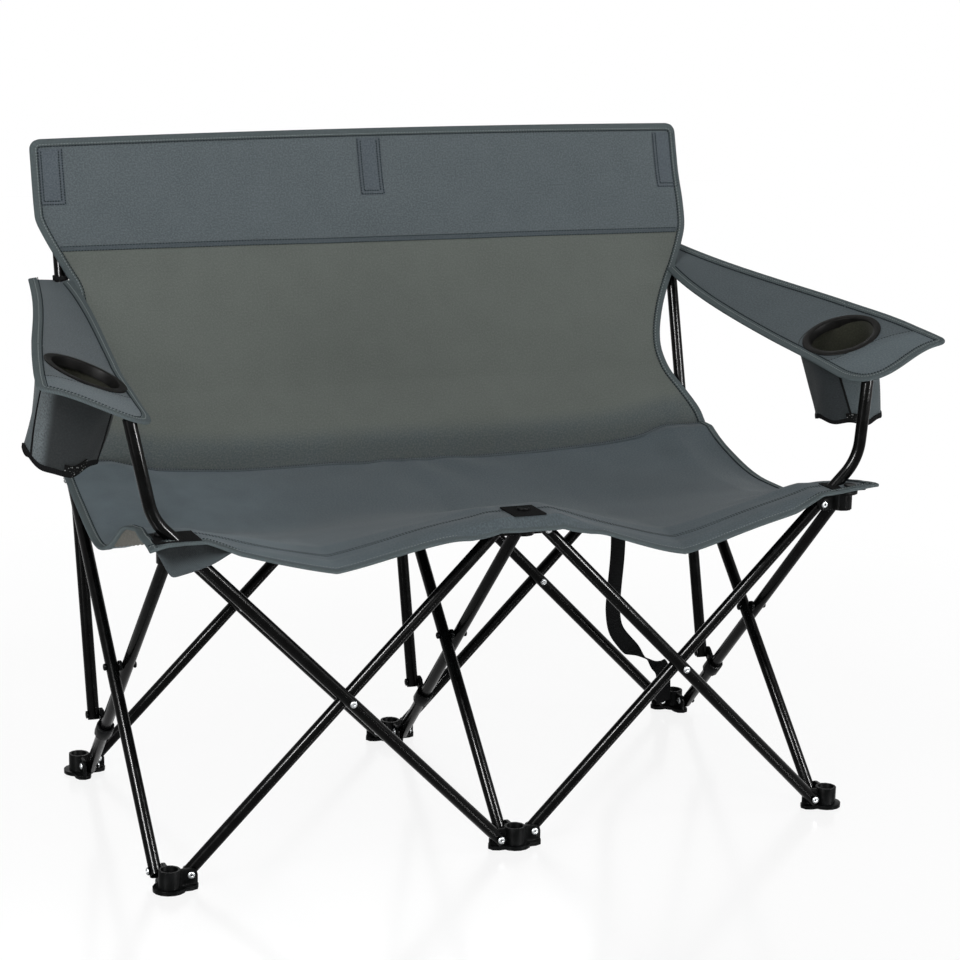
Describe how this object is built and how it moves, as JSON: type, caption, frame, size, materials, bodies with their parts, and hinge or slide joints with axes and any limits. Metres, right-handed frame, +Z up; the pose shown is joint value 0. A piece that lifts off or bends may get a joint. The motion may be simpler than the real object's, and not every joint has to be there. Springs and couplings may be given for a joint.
{
  "type": "folding camp loveseat",
  "caption": "Wide folding camp chair for two sitters: scissor tube legs that fold to a bundle, cloth seat and back, cloth armrests with cup holders.",
  "frame": {"origin": "middle of the plan of the open chair, on the floor", "axes": "+Z up, +X along the width, -Y towards the front edge of the seat"},
  "size_m": [1.2084, 0.6138, 0.8683],
  "materials": {
    "black_tube": "gloss",
    "black_moulding": "satin",
    "rivets": "gloss",
    "slate_cloth": "matte",
    "back_cloth": "matte",
    "cup_ring": "satin",
    "black_webbing": "matte"
  },
  "bodies": {
    "foot_fl": {"foot_front_left": "black_moulding"},
    "hub_fl": {"hub_front_left": "black_moulding", "patch_left": "black_webbing", "armrest_left": "slate_cloth", "cup_ring_left": "cup_ring", "cup_pocket_left": "slate_cloth"},
    "foot_fm": {"foot_front_middle": "black_moulding"},
    "hub_fm": {"hub_front_middle": "black_moulding", "patch_middle": "black_webbing"},
    "foot_fr": {"foot_front_right": "black_moulding"},
    "hub_fr": {"hub_front_right": "black_moulding", "patch_right": "black_webbing", "armrest_right": "slate_cloth", "cup_ring_right": "cup_ring", "cup_pocket_right": "slate_cloth"},
    "foot_rl": {"foot_rear_left": "black_moulding"},
    "hub_rl": {"hub_rear_left": "black_moulding"},
    "foot_rm": {"foot_rear_middle": "black_moulding"},
    "hub_rm": {"hub_rear_middle": "black_moulding"},
    "foot_rr": {"foot_rear_right": "black_moulding", "strap": "black_webbing"},
    "hub_rr": {"hub_rear_right": "black_moulding"},
    "leg_fl_to_fm": {"leg_fl_to_fm": "black_tube"},
    "leg_fm_to_fl": {"leg_fm_to_fl": "black_tube", "rivet_front_left": "rivets"},
    "leg_fr_to_fm": {"leg_fr_to_fm": "black_tube"},
    "leg_fm_to_fr": {"leg_fm_to_fr": "black_tube", "rivet_front_right": "rivets"},
    "leg_rl_to_rm": {"leg_rl_to_rm": "black_tube"},
    "leg_rm_to_rl": {"leg_rm_to_rl": "black_tube", "rivet_rear_left": "rivets"},
    "leg_rr_to_rm": {"leg_rr_to_rm": "black_tube"},
    "leg_rm_to_rr": {"leg_rm_to_rr": "black_tube", "rivet_rear_right": "rivets"},
    "leg_fl_to_rl": {"leg_fl_to_rl": "black_tube", "rivet_side_left": "rivets"},
    "leg_rl_to_fl": {"leg_rl_to_fl": "black_tube"},
    "leg_fm_to_rm": {"leg_fm_to_rm": "black_tube", "rivet_side_middle": "rivets"},
    "leg_rm_to_fm": {"leg_rm_to_fm": "black_tube"},
    "leg_fr_to_rr": {"leg_fr_to_rr": "black_tube", "rivet_side_right": "rivets"},
    "leg_rr_to_fr": {"leg_rr_to_fr": "black_tube"},
    "guide_l": {"guide_left": "black_moulding"},
    "upright_l": {"upright_left": "black_tube"},
    "guide_m": {"guide_middle": "black_moulding"},
    "upright_m": {"upright_middle": "black_tube", "back_panel": "back_cloth", "back_band": "slate_cloth"},
    "guide_r": {"guide_right": "black_moulding"},
    "upright_r": {"upright_right": "black_tube"},
    "seat_front": {"seat_front": "slate_cloth"},
    "seat_rear": {"seat_rear": "slate_cloth"}
  },
  "joints": [
    {"name": "fold", "type": "hinge", "parent": "foot_fm", "child": "leg_fm_to_rm", "pos_m": [0, -0.2533, 0.017], "axis": [1, 0, 0], "range_deg": [0, 41], "deforming": ["seat_front", "seat_rear", "back_panel", "back_band", "armrest_left", "armrest_right", "strap"]},
    {"name": "cross_side_m", "type": "hinge", "parent": "leg_fm_to_rm", "child": "leg_rm_to_fm", "pos_m": [0, -0.0503, 0.22], "axis": [1, 0, 0], "range_deg": [-82, 0]},
    {"name": "foot_pin_side_rm", "type": "hinge", "parent": "leg_rm_to_fm", "child": "foot_rm", "pos_m": [0, 0.1527, 0.017], "axis": [1, 0, 0], "range_deg": [0, 41]},
    {"name": "hub_pin_side_rm", "type": "hinge", "parent": "leg_fm_to_rm", "child": "hub_rm", "pos_m": [0, 0.1527, 0.423], "axis": [1, 0, 0], "range_deg": [-41, 0]},
    {"name": "guide_slide_m", "type": "slide", "parent": "leg_rm_to_fm", "child": "guide_m", "axis": [0, -0.7071, 0.7071], "range_m": [0, 0.05002]},
    {"name": "upright_hinge_m", "type": "hinge", "parent": "guide_m", "child": "upright_m", "pos_m": [0, 0.0933, 0.11034], "axis": [1, 0, 0], "range_deg": [0, 54.04]},
    {"name": "hub_pin_side_fm", "type": "hinge", "parent": "leg_rm_to_fm", "child": "hub_fm", "pos_m": [0, -0.2533, 0.423], "axis": [1, 0, 0], "range_deg": [0, 41]},
    {"name": "foot_pin_fm_l", "type": "hinge", "parent": "foot_fm", "child": "leg_fm_to_fl", "pos_m": [-0.027, -0.2803, 0.017], "axis": [0, 1, 0], "range_deg": [0, 41]},
    {"name": "cross_front_l", "type": "hinge", "parent": "leg_fm_to_fl", "child": "leg_fl_to_fm", "pos_m": [-0.23, -0.2803, 0.22], "axis": [0, 1, 0], "range_deg": [-82, 0]},
    {"name": "foot_pin_fl", "type": "hinge", "parent": "leg_fl_to_fm", "child": "foot_fl", "pos_m": [-0.433, -0.2803, 0.017], "axis": [0, 1, 0], "range_deg": [0, 41]},
    {"name": "hub_pin_fl", "type": "hinge", "parent": "leg_fm_to_fl", "child": "hub_fl", "pos_m": [-0.433, -0.2803, 0.423], "axis": [0, 1, 0], "range_deg": [-41, 0]},
    {"name": "foot_pin_fm_r", "type": "hinge", "parent": "foot_fm", "child": "leg_fm_to_fr", "pos_m": [0.027, -0.2803, 0.017], "axis": [0, 1, 0], "range_deg": [-41, 0]},
    {"name": "cross_front_r", "type": "hinge", "parent": "leg_fm_to_fr", "child": "leg_fr_to_fm", "pos_m": [0.23, -0.2803, 0.22], "axis": [0, 1, 0], "range_deg": [0, 82]},
    {"name": "foot_pin_fr", "type": "hinge", "parent": "leg_fr_to_fm", "child": "foot_fr", "pos_m": [0.433, -0.2803, 0.017], "axis": [0, 1, 0], "range_deg": [-41, 0]},
    {"name": "hub_pin_fr", "type": "hinge", "parent": "leg_fm_to_fr", "child": "hub_fr", "pos_m": [0.433, -0.2803, 0.423], "axis": [0, 1, 0], "range_deg": [0, 41]},
    {"name": "foot_pin_side_fl", "type": "hinge", "parent": "foot_fl", "child": "leg_fl_to_rl", "pos_m": [-0.46, -0.2533, 0.017], "axis": [1, 0, 0], "range_deg": [0, 41]},
    {"name": "cross_side_l", "type": "hinge", "parent": "leg_fl_to_rl", "child": "leg_rl_to_fl", "pos_m": [-0.46, -0.0503, 0.22], "axis": [1, 0, 0], "range_deg": [-82, 0]},
    {"name": "foot_pin_side_rl", "type": "hinge", "parent": "leg_rl_to_fl", "child": "foot_rl", "pos_m": [-0.46, 0.1527, 0.017], "axis": [1, 0, 0], "range_deg": [0, 41]},
    {"name": "hub_pin_side_rl", "type": "hinge", "parent": "leg_fl_to_rl", "child": "hub_rl", "pos_m": [-0.46, 0.1527, 0.423], "axis": [1, 0, 0], "range_deg": [-41, 0]},
    {"name": "guide_slide_l", "type": "slide", "parent": "leg_rl_to_fl", "child": "guide_l", "axis": [0, -0.7071, 0.7071], "range_m": [0, 0.05002]},
    {"name": "upright_hinge_l", "type": "hinge", "parent": "guide_l", "child": "upright_l", "pos_m": [-0.46, 0.0933, 0.11034], "axis": [1, 0, 0], "range_deg": [0, 54.04]},
    {"name": "foot_pin_side_fr", "type": "hinge", "parent": "foot_fr", "child": "leg_fr_to_rr", "pos_m": [0.46, -0.2533, 0.017], "axis": [1, 0, 0], "range_deg": [0, 41]},
    {"name": "cross_side_r", "type": "hinge", "parent": "leg_fr_to_rr", "child": "leg_rr_to_fr", "pos_m": [0.46, -0.0503, 0.22], "axis": [1, 0, 0], "range_deg": [-82, 0]},
    {"name": "foot_pin_side_rr", "type": "hinge", "parent": "leg_rr_to_fr", "child": "foot_rr", "pos_m": [0.46, 0.1527, 0.017], "axis": [1, 0, 0], "range_deg": [0, 41]},
    {"name": "hub_pin_side_rr", "type": "hinge", "parent": "leg_fr_to_rr", "child": "hub_rr", "pos_m": [0.46, 0.1527, 0.423], "axis": [1, 0, 0], "range_deg": [-41, 0]},
    {"name": "guide_slide_r", "type": "slide", "parent": "leg_rr_to_fr", "child": "guide_r", "axis": [0, -0.7071, 0.7071], "range_m": [0, 0.05002]},
    {"name": "upright_hinge_r", "type": "hinge", "parent": "guide_r", "child": "upright_r", "pos_m": [0.46, 0.0933, 0.11034], "axis": [1, 0, 0], "range_deg": [0, 54.04]},
    {"name": "foot_pin_rm_l", "type": "hinge", "parent": "foot_rm", "child": "leg_rm_to_rl", "pos_m": [-0.027, 0.1797, 0.017], "axis": [0, 1, 0], "range_deg": [0, 41]},
    {"name": "cross_rear_l", "type": "hinge", "parent": "leg_rm_to_rl", "child": "leg_rl_to_rm", "pos_m": [-0.23, 0.1797, 0.22], "axis": [0, 1, 0], "range_deg": [-82, 0]},
    {"name": "foot_pin_rm_r", "type": "hinge", "parent": "foot_rm", "child": "leg_rm_to_rr", "pos_m": [0.027, 0.1797, 0.017], "axis": [0, 1, 0], "range_deg": [-41, 0]},
    {"name": "cross_rear_r", "type": "hinge", "parent": "leg_rm_to_rr", "child": "leg_rr_to_rm", "pos_m": [0.23, 0.1797, 0.22], "axis": [0, 1, 0], "range_deg": [0, 82]},
    {"name": "seat_front_fold", "type": "hinge", "parent": "hub_fm", "child": "seat_front", "pos_m": [0, -0.2803, 0.4425], "axis": [1, 0, 0], "range_deg": [-77.9, 0]},
    {"name": "seat_rear_fold", "type": "hinge", "parent": "hub_rm", "child": "seat_rear", "pos_m": [0, 0.1597, 0.4425], "axis": [1, 0, 0], "range_deg": [0, 77.9]}
  ],
  "couplings": [
    {"joint": "cross_side_m", "follows": "fold", "ratio": -2},
    {"joint": "foot_pin_side_rm", "follows": "fold", "ratio": 1},
    {"joint": "hub_pin_side_rm", "follows": "fold", "ratio": -1},
    {"joint": "guide_slide_m", "follows": "fold", "m_per_rad": 0.0699},
    {"joint": "upright_hinge_m", "follows": "fold", "ratio": 1.318},
    {"joint": "hub_pin_side_fm", "follows": "fold", "ratio": 1},
    {"joint": "foot_pin_fm_l", "follows": "fold", "ratio": 1},
    {"joint": "cross_front_l", "follows": "fold", "ratio": -2},
    {"joint": "foot_pin_fl", "follows": "fold", "ratio": 1},
    {"joint": "hub_pin_fl", "follows": "fold", "ratio": -1},
    {"joint": "foot_pin_fm_r", "follows": "fold", "ratio": -1},
    {"joint": "cross_front_r", "follows": "fold", "ratio": 2},
    {"joint": "foot_pin_fr", "follows": "fold", "ratio": -1},
    {"joint": "hub_pin_fr", "follows": "fold", "ratio": 1},
    {"joint": "foot_pin_side_fl", "follows": "fold", "ratio": 1},
    {"joint": "cross_side_l", "follows": "fold", "ratio": -2},
    {"joint": "foot_pin_side_rl", "follows": "fold", "ratio": 1},
    {"joint": "hub_pin_side_rl", "follows": "fold", "ratio": -1},
    {"joint": "guide_slide_l", "follows": "fold", "m_per_rad": 0.0699},
    {"joint": "upright_hinge_l", "follows": "fold", "ratio": 1.318},
    {"joint": "foot_pin_side_fr", "follows": "fold", "ratio": 1},
    {"joint": "cross_side_r", "follows": "fold", "ratio": -2},
    {"joint": "foot_pin_side_rr", "follows": "fold", "ratio": 1},
    {"joint": "hub_pin_side_rr", "follows": "fold", "ratio": -1},
    {"joint": "guide_slide_r", "follows": "fold", "m_per_rad": 0.0699},
    {"joint": "upright_hinge_r", "follows": "fold", "ratio": 1.318},
    {"joint": "foot_pin_rm_l", "follows": "fold", "ratio": 1},
    {"joint": "cross_rear_l", "follows": "fold", "ratio": -2},
    {"joint": "foot_pin_rm_r", "follows": "fold", "ratio": -1},
    {"joint": "cross_rear_r", "follows": "fold", "ratio": 2},
    {"joint": "seat_front_fold", "follows": "fold", "ratio": -1.9},
    {"joint": "seat_rear_fold", "follows": "fold", "ratio": 1.9}
  ]
}
